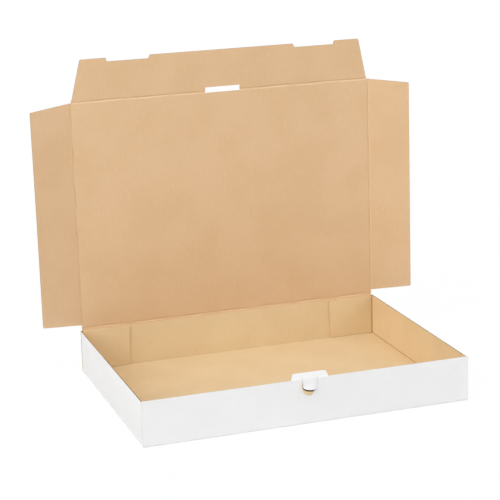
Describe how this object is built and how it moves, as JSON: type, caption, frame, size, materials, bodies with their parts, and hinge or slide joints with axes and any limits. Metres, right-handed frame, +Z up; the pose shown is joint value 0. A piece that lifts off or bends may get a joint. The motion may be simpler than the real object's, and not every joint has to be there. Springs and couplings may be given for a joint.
{
  "type": "flat mailer box",
  "caption": "Flat folding mailer box of corrugated board, white outside and brown inside, with a hinged tuck-in lid, side flaps and a locking tab.",
  "frame": {"origin": "middle of the tray's underside, on the surface the box stands on", "axes": "+Z up, -Y towards the front wall with the locking tab, +X along the front wall to the right"},
  "size_m": [0.4238, 0.2573, 0.3404],
  "materials": {
    "white_board": "matte",
    "brown_board": "matte"
  },
  "bodies": {
    "tray": {"tray": "white_board"},
    "lid": {"lid_panel": "brown_board"},
    "left_flap": {"left_lid_flap": "brown_board"},
    "right_flap": {"right_lid_flap": "brown_board"},
    "tuck_flap": {"front_tuck_flap": "brown_board"},
    "tab": {"locking_tab": "white_board"}
  },
  "joints": [
    {"name": "lid_hinge", "type": "hinge", "parent": "tray", "child": "lid", "pos_m": [0, 0.125, 0.049], "axis": [1, 0, 0], "range_deg": [-89.4, 90.6]},
    {"name": "left_flap_hinge", "type": "hinge", "parent": "lid", "child": "left_flap", "pos_m": [-0.169, 0.125, 0.049], "axis": [0, 0.0105, 0.9999], "range_deg": [-13.3, 76.7]},
    {"name": "right_flap_hinge", "type": "hinge", "parent": "lid", "child": "right_flap", "pos_m": [0.169, 0.125, 0.049], "axis": [0, -0.0105, -0.9999], "range_deg": [-26, 64]},
    {"name": "tuck_flap_hinge", "type": "hinge", "parent": "lid", "child": "tuck_flap", "pos_m": [0, 0.12758, 0.29539], "axis": [1, 0, 0], "range_deg": [-5.8, 84.2]},
    {"name": "tab_hinge", "type": "hinge", "parent": "tray", "child": "tab", "pos_m": [0, -0.125, 0.0465], "axis": [-1, 0, 0], "range_deg": [-25, 65]}
  ]
}
